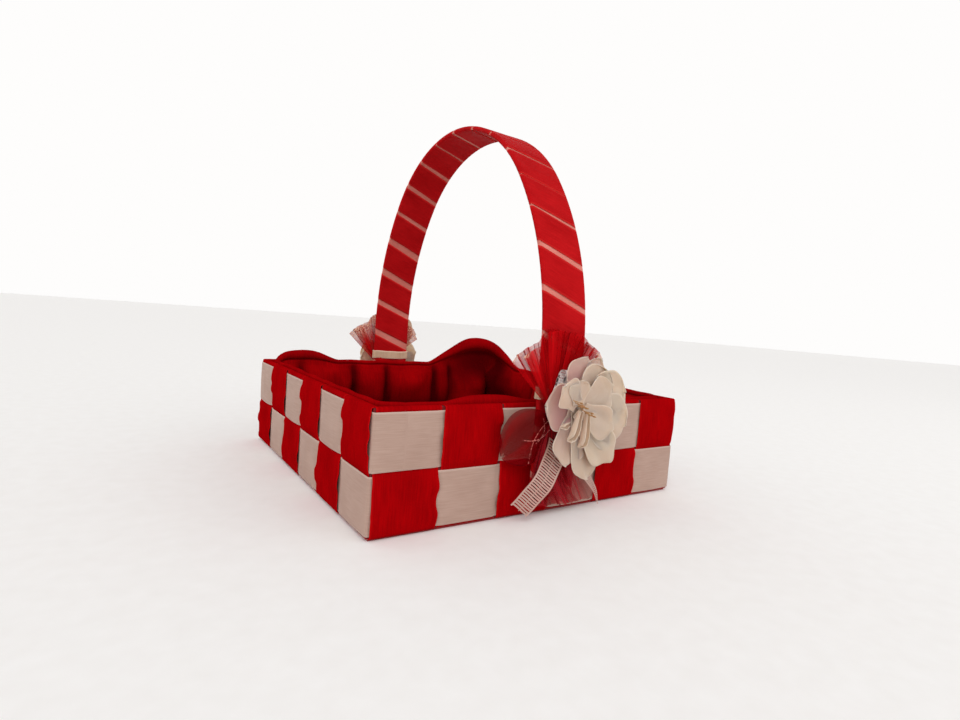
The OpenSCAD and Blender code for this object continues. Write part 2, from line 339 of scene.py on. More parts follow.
# %% Mesh ribbon film
def metal_film(name, face, shade, metallic):
    """Metallised film thread: bright, slightly crinkled."""
    material, tree = new_material(name)
    place = on_cloth(tree)
    crinkle = stretched_noise(tree, place, 1.0 * MM, 1.0 * MM)
    shade_mix = blend_colours(tree, crinkle, colour(shade), colour(face))
    bump = add(tree, "Bump", {"Height": crinkle, "Strength": 0.4, "Distance": 0.1 * MM})
    close(tree, bump.outputs[0], Base_Color=shade_mix, Metallic=metallic, Roughness=0.4)
    return material


# painted reflection: the silver is tinted pink for the red around it
silver_film = metal_film("silver_film_thread", "d6b4a8", "a88074", 0.3)
# painted highlight: the mesh loop is the same film, coloured near white where its top faces the
# light
painted_lit_film = metal_film("painted_highlight_film_thread", "fffcfa", "eee4e0", 0.05)

# %% [markdown]
# The petals are stamped from stiffened polyester cloth. They are cream with a breath of
# pink, matt, and let some light through. A tint mark makes the thin back petals pinker.
# The stamping iron presses faint veins along each petal and seals its edge pale.

# %% Petal cloth
def petal_cloth(name, face, shade, blush, edge):
    """Stiffened petal cloth with pressed veins, a blush and a sealed edge."""
    material, tree = new_material(name)
    place = on_cloth(tree)
    veins = stretched_noise(tree, place, 1.5 * MM, 30 * MM)
    weave = stretched_noise(tree, place, 0.8 * MM, 0.8 * MM, 0.0)
    clouds = stretched_noise(tree, place, 12 * MM, 12 * MM)
    body = blend_colours(tree, clouds, colour(shade), colour(face))
    blush_mark = mark(tree, "tint")
    blushed = blend_colours(tree, blush_mark, body, colour(blush))
    near_edge = mark(tree, "edge")
    whole = blend_colours(tree, near_edge, blushed, colour(edge))
    relief = maths(tree, "ADD", veins, weave)
    bump = add(tree, "Bump", {"Height": relief, "Strength": 0.3, "Distance": 0.25 * MM})
    close(
        tree, bump.outputs[0], Base_Color=whole, Roughness=0.72, Specular_IOR_Level=0.2,
        Sheen_Weight=0.15, Sheen_Roughness=0.5, Subsurface_Weight=0.45,
        Subsurface_Radius=(1.0, 0.7, 0.5), Subsurface_Scale=3 * MM,
    )
    return material


petal_satin = petal_cloth("cream_petal_cloth", "cdb6a2", "bfa58f", "bc8c88", "d4bfac")
stamen_paste = petal_cloth("golden_stamen_paste", "b08858", "8e6440", "8a5a36", "c9a070")
print("petal cloth and stamens")

# %% [markdown]
# The hidden pieces are plain: boards coloured dark red, so that the slits between the
# ribbons show painted shade, not a pale edge; wool-mix felt under the base; and dried
# hot-melt glue behind the handle's feet. They keep their CAD shapes.

# %% Board, felt and glue
def fibrous(name, face, shade, grain, depth, **surface):
    """A material made of fibres or specks: two shades and a bump at one grain size."""
    material, tree = new_material(name)
    place = add(tree, "TexCoord").outputs["Object"]
    specks = stretched_noise(tree, place, grain, grain, 4.0)
    shade_mix = blend_colours(tree, specks, colour(shade), colour(face))
    bump = add(tree, "Bump", {"Height": specks, "Strength": 0.5, "Distance": depth})
    close(tree, bump.outputs[0], Base_Color=shade_mix, **surface)
    return material


# painted shade: the boards are dark red so that the slits between ribbons look shadowed
painted_shade_board = fibrous("red_board_painted_as_shade", "7c0408", "600306", 1.5 * MM, 0.1 * MM, Roughness=0.9)
red_felt = fibrous(
    "red_craft_felt", "9a1014", "6f080c", 1.2 * MM, 0.4 * MM, Roughness=0.95, Sheen_Weight=0.6
)
dried_glue = fibrous(
    "dried_hot_glue", "e8dcc0", "d8c8a4", 4 * MM, 0.2 * MM, Roughness=0.3,
    Transmission_Weight=0.3,
)


def finish_node(node, material):
    """Gives a CAD node its finish. Its shape stays as it is."""
    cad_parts[node].data.materials.clear()
    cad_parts[node].data.materials.append(material)


for node in ("base_board", "front_board", "back_board", "left_board", "right_board"):
    finish_node(node, painted_shade_board)
for node in ("front_glue_pad", "back_glue_pad"):
    finish_node(node, dried_glue)
finish_node("base_cover", red_felt)
finish_node("handle_core", core_satin)
print("nine CAD nodes finished")

# %% [markdown]
# ## From points to cloth
# Each soft piece is a grid of points worked out from a formula: rows run along the cloth
# and columns across it. One function turns grids into a mesh. It also keeps the cloth
# coordinates and the edge mark, which the finishes read.

# %% Grid helpers
def grid(points, edge=0.0, tint=0.0, wrap=False):
    """A grid of cloth: points (rows, columns, 3), its marks, and whether it closes."""
    points = np.asarray(points, float)
    rows, columns = points.shape[:2]
    along = np.linalg.norm(np.diff(points, axis=0), axis=2).mean(axis=1)
    across = np.linalg.norm(np.diff(points, axis=1), axis=2).mean(axis=0)
    v = np.concatenate([[0], np.cumsum(along)])
    u = np.concatenate([[0], np.cumsum(across)])
    cloth = np.stack(np.broadcast_arrays(u[None, :], v[:, None]), -1)
    return {
        "points": points, "cloth": cloth, "wrap": wrap,
        "edge": np.broadcast_to(edge, (rows, columns)),
        "tint": np.broadcast_to(tint, (rows, columns)),
    }


def grid_faces(rows, columns, wrap, first):
    """The quads of one grid whose points start at number `first`."""
    last = columns if wrap else columns - 1
    i, j = np.meshgrid(np.arange(rows - 1), np.arange(last), indexing="ij")
    beside = (j + 1) % columns
    quads = np.stack([
        i * columns + j, i * columns + beside, (i + 1) * columns + beside, (i + 1) * columns + j
    ], -1)
    return (quads.reshape(-1, 4) + first).tolist()


def cloth_piece(name, grids, material, thickness=0.0, extra_faces=()):
    """One object made of grids of cloth, smooth shaded, that rides on the basket."""
    points, cloth, edge, tint, faces = [], [], [], [], list(extra_faces)
    for g in grids:
        rows, columns = g["points"].shape[:2]
        faces += grid_faces(rows, columns, g["wrap"], sum(len(p) for p in points))
        points.append(g["points"].reshape(-1, 3))
        cloth.append(g["cloth"].reshape(-1, 2))
        edge.append(g["edge"].reshape(-1))
        tint.append(g["tint"].reshape(-1))
    mesh = bpy.data.meshes.new(name)
    mesh.from_pydata(np.concatenate(points).tolist(), [], faces)
    mesh.polygons.foreach_set("use_smooth", [True] * len(mesh.polygons))
    corner = np.zeros(len(mesh.loops), np.int32)
    mesh.loops.foreach_get("vertex_index", corner)
    layer = mesh.uv_layers.new(name="cloth")
    layer.data.foreach_set("uv", np.concatenate(cloth)[corner].astype(np.float32).ravel())
    for mark, values in (("edge", edge), ("tint", tint)):
        attribute = mesh.attributes.new(mark, "FLOAT", "POINT")
        attribute.data.foreach_set("value", np.concatenate(values).astype(np.float32))
    mesh.materials.append(material)
    piece = bpy.data.objects.new(name, mesh)
    bpy.context.scene.collection.objects.link(piece)
    if thickness:
        solid = piece.modifiers.new("thickness", "SOLIDIFY")
        solid.thickness = thickness
        solid.offset = 0
    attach(piece, "root")
    return piece


def waves(x, y, length, seed):
    """Gentle unevenness, about -1 to 1, with bumps about `length` long."""
    rng = np.random.default_rng(seed)
    total = 0
    for _ in range(6):
        turn, shift = rng.uniform(0, 2 * math.pi, 2)
        scale = 2 * math.pi / (length * rng.uniform(0.7, 1.5))
        total = total + np.sin((x * math.cos(turn) + y * math.sin(turn)) * scale + shift)
    return total / 3


def smooth(t):
    """Goes softly from 0 to 1 as t does."""
    t = np.clip(t, 0, 1)
    return t * t * (3 - 2 * t)


def rounded(path, radius, steps=4):
    """The path with each corner replaced by a curve that starts `radius` before it."""
    path = [np.array(p, float) for p in path]
    out = [path[0]]
    for before, corner, after in zip(path, path[1:], path[2:]):
        back, on = before - corner, after - corner
        start = corner + back * min(radius / np.linalg.norm(back), 0.45)
        end = corner + on * min(radius / np.linalg.norm(on), 0.45)
        for t in np.linspace(0, 1, steps + 1):
            out.append((1 - t) ** 2 * start + 2 * t * (1 - t) * corner + t * t * end)
    return np.array(out + [path[-1]])


def steps_of(path):
    return np.linalg.norm(np.diff(path, axis=0), axis=1)


def evenly(path, spacing):
    """Points `spacing` apart along a path."""
    steps = steps_of(path)
    along = np.concatenate([[0], np.cumsum(steps)])
    at = np.linspace(0, along[-1], max(3, round(along[-1] / spacing) + 1))
    return np.stack([np.interp(at, along, path[:, i]) for i in range(path.shape[1])], 1)


def outward(path):
    """The unit normals of a path in a plane, to the right of its direction."""
    direction = np.gradient(path, axis=0)
    direction = direction / np.linalg.norm(direction, axis=1, keepdims=True)
    return np.stack([direction[:, 1], -direction[:, 0]], 1)


print("grids ready")

# %% [markdown]
# ## Sizes from the frame
# The weave's levels and the tray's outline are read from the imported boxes. Distances
# outward from the wall boards are called `d`, as a maker would measure how proud of the
# wall a layer stands.

# %% Tray sizes
COLUMNS = 6
WALLS = ("front", "right", "back", "left")
GAP = 0.1 * MM
RIBBON_T = 0.3 * MM  # real satin; the CAD ribbon is a little thicker, so this one has air

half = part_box("right_board")[1].x
board_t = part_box("front_board")[1].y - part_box("front_board")[0].y
wall_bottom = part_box("front_board")[0].z
wall_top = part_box("front_board")[1].z
band_low, band_high = (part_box("lower_band")[i].z for i in (0, 1))
edge_gap = band_low - wall_bottom
band_h = band_high - band_low
row_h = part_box("upper_band")[0].z - band_low
column_w = 2 * half / COLUMNS
ribbon_w = column_w - 2 * edge_gap
cad_ribbon_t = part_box("front_upright_1")[1].z - wall_top - GAP
over_d = -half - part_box("front_upright_1")[0].y - cad_ribbon_t / 2
under_d = over_d - cad_ribbon_t - GAP
tail_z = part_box("front_upright_1")[0].z + cad_ribbon_t / 2
fold_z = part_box("front_upright_1")[1].z - cad_ribbon_t / 2
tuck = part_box("front_upright_1")[1].y + half
print("columns", round(column_w / MM, 1), "mm, rows", round(row_h / MM, 1), "mm")


def row_line(row):
    return wall_bottom + row * row_h


def place_on_wall(wall, x, d, z):
    """Points `x` along a wall, `d` outward from its boards and `z` up."""
    flat = np.stack(np.broadcast_arrays(x, -half - d, z), -1)
    turn = np.array(Matrix.Rotation(wall * math.pi / 2, 3, "Z"))
    return flat @ turn.T


# %% [markdown]
# ## The weave
# Twenty-four red uprights start under the base, climb the wall, fold over the rim and end
# inside. Two cream bands run right round the tray. Where column plus row is even the
# upright lies on top, and elsewhere the band does. The ribbon on top is slack: it bulges
# a little, its edge wanders, and it lifts here and there, which casts the small shadows
# along the checks. The one below lies flat and dives just before the crossing edge.

# %% Upright ribbons
DIVE = 2.6 * MM
PUFF = 1.1 * MM


def upright_is_over(column, row):
    return (column + row) % 2 == 0


def upright_profile(column):
    """An upright seen on edge as (d, z), from its tail under the base to its end inside."""
    low_d, high_d = (over_d if upright_is_over(column, row) else under_d for row in (0, 1))
    line = row_line(1)
    if low_d > high_d:
        crossing = [(low_d, line - DIVE), (high_d, line - 0.3 * MM)]
    else:
        crossing = [(low_d, line + 0.3 * MM), (high_d, line + DIVE)]
    inside = -board_t - GAP - cad_ribbon_t / 2
    path = [(-tuck, tail_z), (low_d, tail_z)] + crossing
    path += [(high_d, fold_z), (inside, fold_z), (inside, fold_z - tuck)]
    return evenly(rounded(path, 0.9 * MM), 0.9 * MM)


def upright(wall, column):
    """One red upright: flat below, slack and a little wavy where it lies on top."""
    seed = 100 * wall + column
    rng = np.random.default_rng(seed)
    profile = upright_profile(column)
    normal = outward(profile)
    d, z = profile[:, 0][:, None], profile[:, 1][:, None]
    across = np.linspace(-1, 1, 33)[None, :]
    row = 0 if upright_is_over(column, 0) else 1
    low, high = row_line(row), row_line(row) + row_h
    v = np.clip((z - low) / (high - low), 0, 1)
    on_face = (d > 0) & (z > tail_z + 0.6 * MM) & (z < fold_z - 0.4 * MM)
    slack = np.where(on_face, np.sin(math.pi * v) ** 0.7, 0)
    side = np.where(across > 0, 1, -1)
    wander = waves(z + 0 * across, side * 40 * MM, 15 * MM, seed + 7)
    lift = smooth((np.abs(across) - 0.72) / 0.28) * smooth(0.35 + wander)
    at_corner = ((column == 0) & (across < 0)) | ((column == COLUMNS - 1) & (across > 0))
    wide = slack * (0.55 * MM + 0.75 * MM * wander) * np.where(at_corner, 0.3, 1)
    x = (column + 0.5) * column_w - half + across * (ribbon_w / 2 + wide)
    swell = PUFF * rng.uniform(0.6, 1.1) * (1 - 0.7 * across ** 2)
    creases = 0.16 * MM * waves(x, z, 16 * MM, seed)
    push = slack * (swell + 1.1 * MM * lift + creases)
    points = place_on_wall(wall, x, d + normal[:, :1] * push, z + normal[:, 1:] * push)
    edge = smooth((np.abs(across) - 0.955) / 0.045) + 0 * z
    piece = cloth_piece(f"{WALLS[wall]}_upright_ribbon_{column + 1}", [grid(points, edge)],
                        red_satin, RIBBON_T)
    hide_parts(f"{WALLS[wall]}_upright_{column + 1}")
    return piece


uprights = [upright(wall, column) for wall in range(4) for column in range(COLUMNS)]
print(len(uprights), "uprights, each with", len(uprights[0].data.vertices), "points")

# %% [markdown]
# A band is one ribbon with its ends glued under an upright. Seen from above it steps out
# over every second upright and back under the next, and turns the four corners with a
# small radius. Its two selvages stay straight, and it sags a little between uprights.

# %% Bands
def band_profile(row):
    """The band's path seen from above, anticlockwise, as (x, y) points."""
    path = []
    for wall in range(4):
        levels = [under_d if upright_is_over(k, row) else over_d for k in range(COLUMNS)]
        stations = [(-half - levels[-1], levels[0])]
        for k in range(1, COLUMNS):
            line = k * column_w - half
            if levels[k - 1] > levels[k]:
                stations += [(line - DIVE, levels[k - 1]), (line - 0.4 * MM, levels[k])]
            else:
                stations += [(line + 0.4 * MM, levels[k - 1]), (line + DIVE, levels[k])]
        path += [place_on_wall(wall, x, d, 0)[:2] for x, d in stations]
    start = (path[0] + path[1]) / 2
    return evenly(rounded([start, *path[1:], path[0], start], 1.2 * MM), 1.3 * MM)[:-1]


def band(row, name):
    """One cream band, slack between the uprights that hold it down."""
    profile = band_profile(row)
    ring = np.concatenate([profile[-1:], profile, profile[:1]])
    normal = outward(ring)[1:-1]
    turned = np.argmax(np.stack([
        -profile[:, 1], profile[:, 0], profile[:, 1], -profile[:, 0]
    ]), axis=0)
    along = np.choose(turned, [profile[:, 0], profile[:, 1], -profile[:, 0], -profile[:, 1]])
    cell = np.clip((along + half) / column_w, 0, COLUMNS - 1e-6)
    column = cell.astype(int)
    over = (column + row) % 2 == 1
    rng = np.random.default_rng(50 + row)
    slack_here = rng.uniform(0.5, 1.0, (4, COLUMNS))[turned, column]
    sag_here = rng.uniform(-0.2, 1.0, (4, COLUMNS))[turned, column]
    slack = np.where(over, np.sin(math.pi * (cell - column)) ** 0.6, 0) * slack_here
    v = np.linspace(-1, 1, 27)[:, None]
    z = band_low + row * row_h + (v + 1) / 2 * band_h
    hang = np.where(over, np.sin(math.pi * (cell - column)), 0) * sag_here * 0.9 * MM
    z = z - hang[None, :] * np.where(v < 0, -v, 0.3 * (1 - v))
    distance = np.arange(len(profile)) * 1.3 * MM
    creases = 0.2 * MM * waves(distance[None, :], z, 15 * MM, 60 + row)
    push = slack[None, :] * (0.95 * MM * (1 - np.abs(v) ** 2.5) + creases * (1 - v ** 4))
    x = profile[None, :, 0] + normal[None, :, 0] * push
    y = profile[None, :, 1] + normal[None, :, 1] * push
    points = np.stack(np.broadcast_arrays(x, y, z), -1)
    edge = smooth((np.abs(v) - 0.94) / 0.05) + 0 * x
    sheet = grid(points, edge, wrap=True)
    sheet["cloth"] = sheet["cloth"][..., ::-1]
    piece = cloth_piece(name + "_ribbon", [sheet], cream_satin, RIBBON_T)
    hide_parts(name)
    return piece


bands = [band(0, "lower_band"), band(1, "upper_band")]
print(len(bands), "bands")

# %% [markdown]
# ## The lining
# A sheet of satin is gathered into the tray: hemmed behind the rim, rolled over at the
# top, stitched down in a few upright creases and puffed out between them. It stands up in
# a hood at the back right corner and in a small puff near the back left one. The stitches
# hold its shape more than its weight does, so it is laid out column by column round the
# tray, and the slack is drawn as folds of two sizes, instead of being simulated.

# %% Lining: columns round the tray
lining_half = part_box("lining")[1].x
lining_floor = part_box("lining")[0].z
lining_t = 3 * MM
rim_top = wall_top + 1.4 * MM
hood_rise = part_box("lining")[1].z - rim_top - 1 * MM
side_rise = 8 * MM
CORNER_R = 15 * MM
wall_run = 2 * lining_half
creases_on_wall = {
    "front": (14, 52, 90, 136, 178),
    "right": (22, 61, 104, 141),
    "back": (52, 69, 119, 150, 196),
    "left": (33, 78, 117, 160, 201),
}


def round_the_tray():
    """For each column: its anchor, its outward direction and its distance round."""
    straight = np.linspace(-1, 1, 88)
    arc = np.radians(np.linspace(-90, 0, 16)[1:-1])
    anchors, directions, distance = [], [], []
    for wall in range(4):
        turn = np.array(Matrix.Rotation(wall * math.pi / 2, 2))
        anchor = np.array([(t, -1) for t in straight] + [(1, -1)] * len(arc), float)
        direction = np.array(
            [(0, -1)] * len(straight) + [(math.cos(a), math.sin(a)) for a in arc]
        )
        along = np.concatenate([
            wall_run / 2 + straight * (wall_run / 2 - CORNER_R),
            wall_run + (arc / (math.pi / 2) + 0.5) * 2 * CORNER_R,
        ])
        anchors.append(anchor @ turn.T)
        directions.append(direction @ turn.T)
        distance.append(along + wall * wall_run)
    return np.concatenate(anchors), np.concatenate(directions), np.concatenate(distance)


anchor, direction, distance = round_the_tray()
rim_line = anchor * (lining_half - CORNER_R) + direction * CORNER_R
whole_run = 4 * wall_run
stitches = np.array(sorted(
    (WALLS.index(wall) * wall_run + mm * MM) for wall, places in creases_on_wall.items()
    for mm in places
))
print(len(distance), "columns,", len(stitches), "stitched creases")

# %% Lining: heights and puffs
def hump(middle, left, right):
    """1 at one distance round the tray, falling softly to 0 on its two sides."""
    off = (distance - middle + whole_run / 2) % whole_run - whole_run / 2
    reach = np.where(off < 0, left, right)
    return np.cos(np.clip(np.abs(off) / reach, 0, 1) * math.pi / 2) ** 1.35


hood = hump(2 * wall_run + 17 * MM, 70 * MM, 58 * MM)
side_puff = hump(3 * wall_run - 27 * MM, 30 * MM, 34 * MM)
front_arch = hump(66 * MM, 28 * MM, 30 * MM)
rim_unevenness = 0.35 * MM * waves(distance, 0 * distance, 34 * MM, 5)
top = rim_top + rim_unevenness + hood_rise * hood + side_rise * side_puff
top = top + 3.2 * MM * front_arch

after = np.searchsorted(stitches, distance) % len(stitches)
gap_between = (stitches[after] - stitches[after - 1]) % whole_run
from_stitch = (distance - stitches[after - 1]) % whole_run
into = from_stitch / gap_between
panel = (1 - np.abs(2 * into - 1) ** 2.4) ** 0.7
fullness = np.random.default_rng(11).uniform(0.8, 1.15, len(stitches))[after]
puff = 12 * MM * panel * fullness * np.clip(gap_between / (32 * MM), 0.7, 1)
mound = hump(2 * wall_run + 32 * MM, 24 * MM, 26 * MM)
# hollow_side and crease only set painted shade: darker beside the hood and along the stitches
hollow_side = hump(2 * wall_run - 24 * MM, 44 * MM, 34 * MM)
to_stitch = np.minimum(from_stitch, gap_between - from_stitch)
crease = np.exp(-(to_stitch / (3.4 * MM)) ** 2)
print("hood", round(hood_rise / MM), "mm high, puffs up to", round(puff.max() / MM, 1), "mm")

# %% Lining: the sheet
HEM = 9 * MM
BEND = 9 * MM
ROLL_R = 1.6 * MM


def lining_rows():
    """The section at every column: (inward, z, painted shade), hem to floor."""
    roll = ROLL_R + 4.6 * MM * hood + 2.4 * MM * side_puff + 1.2 * MM * front_arch
    lean = 8 * MM * hood + 4 * MM * side_puff

    def leaning(z):
        return lean * smooth((z - wall_top - 1.2 * MM) / np.maximum(top - wall_top, 4 * MM))

    rows = []
    for t in np.linspace(0, 1, 12):
        z = (wall_top - HEM) * (1 - t) + (top - roll) * t
        rows.append((0.5 * MM - leaning(z), z, 0))
    for turn in np.radians(np.linspace(170, -60, 15)):
        centre = 0.5 * MM - leaning(top) + roll
        across, up = roll * math.cos(turn), roll * math.sin(turn)
        # painted shade on the roll's underside, where it turns back down
        rows.append((centre + across, top - roll + up, 0.4 * smooth(-turn)))
    start, start_z = rows[-1][:2]
    base_z = lining_floor + lining_t + BEND
    for t in np.linspace(0, 1, 42)[1:]:
        z = start_z * (1 - t) + base_z * t
        back = 1.6 * MM - leaning(z)
        settle = smooth(t / 0.1)
        below_rim = smooth((wall_top + 4 * MM - z) / (13 * MM))
        full = puff * below_rim * (0.55 + 0.45 * np.sin(math.pi * np.clip(t, 0, 1)))
        risen = mound * smooth((t - 0.25) / 0.35)
        full = full + 16 * MM * risen * (1 - 0.4 * t)
        folds = waves(distance, z, 24 * MM, 12) + 0.5 * waves(distance, 0.6 * z, 11 * MM, 13)
        full = full + 1.1 * MM * (1 + folds) * below_rim
        # painted shade: darker along the stitched creases, in the hood's hollow and beside it, and
        # low on the walls, and lifted on the mound
        hollow = 0.85 * hood * smooth((top - z) / (12 * MM)) * smooth((z - 34 * MM) / (16 * MM))
        hollow = np.maximum(hollow, 0.9 * hollow_side * smooth((top - z) / (16 * MM)))
        low = 0.75 * smooth((54 * MM - z) / (30 * MM))
        shade = np.clip(0.9 * crease * below_rim + hollow + low, 0, 0.92) * (1 - 0.85 * risen)
        rows.append((start * (1 - settle) + back * settle + full, z, shade))
    wall_foot = rows[-1][0]
    # painted shade where the walls bend onto the floor
    for turn in np.radians(np.linspace(10, 90, 7)):
        inward = wall_foot + BEND * (1 - math.cos(turn))
        rows.append((inward, base_z - BEND * math.sin(turn), 0.4))
    return rows


def lining_points():
    """Every point of the sheet, from the hem over the rim and down, and its painted shade marks.
    """
    rings, marks = [], []
    for inward, z, shade in lining_rows():
        ring = rim_line - direction * inward[:, None]
        rings.append(np.concatenate([ring, np.broadcast_to(z, (len(ring),))[:, None]], 1))
        marks.append(np.broadcast_to(shade, (len(ring),)))
    edge_ring, middle = rings[-1], np.array([0, 0, rings[-1][0, 2]])
    for t in np.linspace(0, 1, 34)[1:-1]:
        rings.append(edge_ring * (1 - t) + middle * t)
        # painted shade over the lining's floor
        marks.append(np.full(len(edge_ring), 0.3))
    points = np.array(rings)
    x, y = points[..., 0], points[..., 1]
    floor_rows = np.linspace(0, 1, 33)[1:]
    swell = 1.6 * MM * (1 + waves(x, y, 55 * MM, 8)) + 0.5 * MM * waves(x, y, 20 * MM, 9)
    share = np.zeros(len(rings))
    share[-len(floor_rows):] = np.sin(math.pi * floor_rows ** 0.7) ** 0.8
    points[..., 2] += swell * share[:, None]
    return points, np.array(marks)


sheet_points, painted_shade_marks = lining_points()
rows, columns = sheet_points.shape[:2]
middle_face = [tuple(range((rows - 1) * columns, rows * columns))]
lining = cloth_piece(
    "gathered_lining", [grid(sheet_points, tint=painted_shade_marks, wrap=True)], lining_satin,
    0.5 * MM, middle_face,
)
print("lining sheet:", rows, "rows of", columns, "points")

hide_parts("lining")

# %% [markdown]
# ## The handle
# The core strip shows through the gaps of its winding, so it stays as the frame has it.
# The winding is one ribbon, wound as a helix. Unrolled, the core's skin is a long flat
# strip, and the ribbon is a straight band across it, again and again. So each point is
# worked out on the unrolled skin first, and then carried round the core and up the arch.
# The arch is three arcs: each side leans in by 37 degrees and the crown joins them.

# %% Handle winding
core_low, core_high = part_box("handle_core")
core_w = core_high.x - core_low.x
foot_z = core_low.z
core_t = 2 * MM
span_r = core_high.y - core_t / 2
spring_z = wall_top + 31 * MM
extra = core_high.z - core_t / 2 - spring_z - span_r
side_r = span_r + 2 * extra
crown_r = side_r - 2.5 * extra
crown_z = spring_z + 1.5 * extra
haunch = math.atan2(3, 4)
leg = spring_z - foot_z
side_run = side_r * haunch
arch_length = 2 * leg + 2 * side_run + crown_r * (math.pi - 2 * haunch)

WRAP_W = 21.2 * MM
WRAP_PITCH = 26 * MM  # sets the slope; winding_place sets how far apart the turns lie
WRAP_T = 0.3 * MM
end_r = core_t / 2 + 0.35 * MM
flat_w = core_w + 0.7 * MM - 2 * end_r
around = 2 * flat_w + 2 * math.pi * end_r


def skin_point(c):
    """Where the distance c round the core's skin lies, as (x, outward)."""
    c = c % around
    arc = math.pi * end_r
    turn_a = (c - flat_w) / end_r
    turn_b = (c - 2 * flat_w - arc) / end_r
    part = [c < flat_w, c < flat_w + arc, c < 2 * flat_w + arc]
    first_end = -flat_w / 2 - end_r * np.sin(turn_a)
    back = -flat_w / 2 + (c - flat_w - arc)
    x = np.select(part, [flat_w / 2 - c, first_end, back], flat_w / 2 + end_r * np.sin(turn_b))
    out = np.select(
        part, [end_r + 0 * c, end_r * np.cos(turn_a), -end_r + 0 * c], -end_r * np.cos(turn_b)
    )
    return x, out


def on_arch(s, x, out):
    """A point s along the handle from the front foot, x sideways and `out` outward."""
    near = np.clip((s - leg) / side_r, 0, haunch)
    crown = np.clip((s - leg - side_run) / crown_r, 0, math.pi - 2 * haunch)
    far = np.clip((s - arch_length + leg + side_run) / side_r, 0, haunch)
    turn = near + crown + far
    arcs = [crown <= 0, far <= 0]
    r = np.select(arcs, [side_r, crown_r], side_r) + out
    centre_y = np.select(arcs, [side_r - span_r, 0], span_r - side_r)
    centre_z = np.select(arcs, [spring_z, crown_z], spring_z)
    on_leg = np.maximum(leg - s, 0) + np.maximum(s - arch_length + leg, 0)
    y, z = centre_y - r * np.cos(turn), centre_z - on_leg + r * np.sin(turn)
    return np.stack([x, y, z], -1)


def soft_ramp(t):
    """0 below nought and t above it, with a soft bend between."""
    return np.logaddexp(0, 3 * t) / 3


def winding_place(turns):
    """How far along the handle the ribbon is: wound looser at the feet than on the crown."""
    loose_start, loose_end = soft_ramp(5.2 - turns), soft_ramp(turns - 14.5)
    place = 25.0 * turns - 2.2 * loose_start + 3.2 * loose_end
    tighter = 3 * smooth((turns - 7) / 2) + 4 * smooth((turns - 14) / 3)
    return (place - tighter + 0.5 * np.sin(turns * 2.1 + 0.6)) * MM


def winding():
    """The ribbon as a grid: rows along it and columns across it, cut off at the feet."""
    run = math.hypot(around, WRAP_PITCH)
    slope_s, slope_c = around / run, WRAP_PITCH / run
    turns = np.linspace(-1, 25, 26 * 84)
    centre = winding_place(turns)
    low = np.maximum(-WRAP_W / 2, (0.4 * MM - centre) / slope_s)
    high = np.minimum(WRAP_W / 2, (arch_length - 0.4 * MM - centre) / slope_s)
    keep = high - low > 0.5 * MM
    share = np.linspace(0, 1, 15)[None, :]
    w = (low[:, None] + (high - low)[:, None] * share)[keep]
    s = centre[keep][:, None] + w * slope_s
    c = turns[keep][:, None] * around - w * slope_c
    x, out = skin_point(c)
    strain = waves(c * 0.6, w * 4, 40 * MM, 21) * smooth((np.abs(x) < flat_w / 2 - 1 * MM) + 0.0)
    grow = 1 + 0.06 * strain
    edge = smooth((np.abs(w) - WRAP_W / 2 + 0.9 * MM) / (0.7 * MM))
    return grid(on_arch(s, x, out * grow), edge)


wrap = cloth_piece("handle_winding_ribbon", [winding()], wrap_satin, WRAP_T)
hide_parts("handle_wrap")

# %% [markdown]
# ## The decorations
# Each foot of the handle hides under the same bunch: a tie of cream ribbon, pleated tulle
# above, a loop of tulle at the side, a tail of tulle below, all drawn together at a knot,
# and on top a loop and two tails of mesh ribbon and a big fabric blossom. A piece is laid
# out on the wall's own coordinates: x along the wall, z up and d outward. The back bunch
# is the mirror image of the front one.

# %% Decoration helpers
def tray_side(place, x, z, d):
    """Points on the front wall's coordinates, or on the back wall's mirror image of them."""
    sign = -1 if place == "front" else 1
    return np.stack(np.broadcast_arrays(x, sign * (half + d), z), -1)


def depth(node, end):
    """How far outward a front node starts (0) or ends (1)."""
    return -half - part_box(node)[1 - end].y


def decorate(place, node, grids, material, thickness=0.0):
    """A piece of one bunch, which stands for its CAD node."""
    piece = cloth_piece(f"{place}_{node}_cloth", grids, material, thickness)
    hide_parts(f"{place}_{node}")
    return piece


def turned_to(angle, along, across, root):
    """Points (x, z) that lie `along` and `across` a direction from the point `root`."""
    x = root[0] + along * math.cos(angle) - across * math.sin(angle)
    z = root[1] + along * math.sin(angle) + across * math.cos(angle)
    return x, z


def box_outline(width, height, radius, steps=4):
    """Once round a box with rounded corners, from the middle of its lower edge."""
    way = ((0, -1), (1, -1), (1, 1), (-1, 1), (-1, -1), (0, -1))
    return rounded([(x * width / 2, y * height / 2) for x, y in way], radius, steps)


knot_low, knot_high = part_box("front_tulle_knot")
knot_x = (knot_low.x + knot_high.x) / 2
knot_z = (knot_low.z + knot_high.z) / 2
knot_r = (knot_high.x - knot_low.x) / 2
knot_d = -half - (knot_low.y + knot_high.y) / 2
tulle_d = (depth("front_tulle_fan", 0) + depth("front_tulle_fan", 1)) / 2
fan_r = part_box("front_tulle_fan")[1].z - knot_z
tail_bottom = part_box("front_tulle_tail")[0].z
mesh_d = depth("front_mesh_tail", 0)
print("knot at", round(knot_x / MM, 1), round(knot_z / MM, 1), "mm, fan", round(fan_r / MM), "mm")

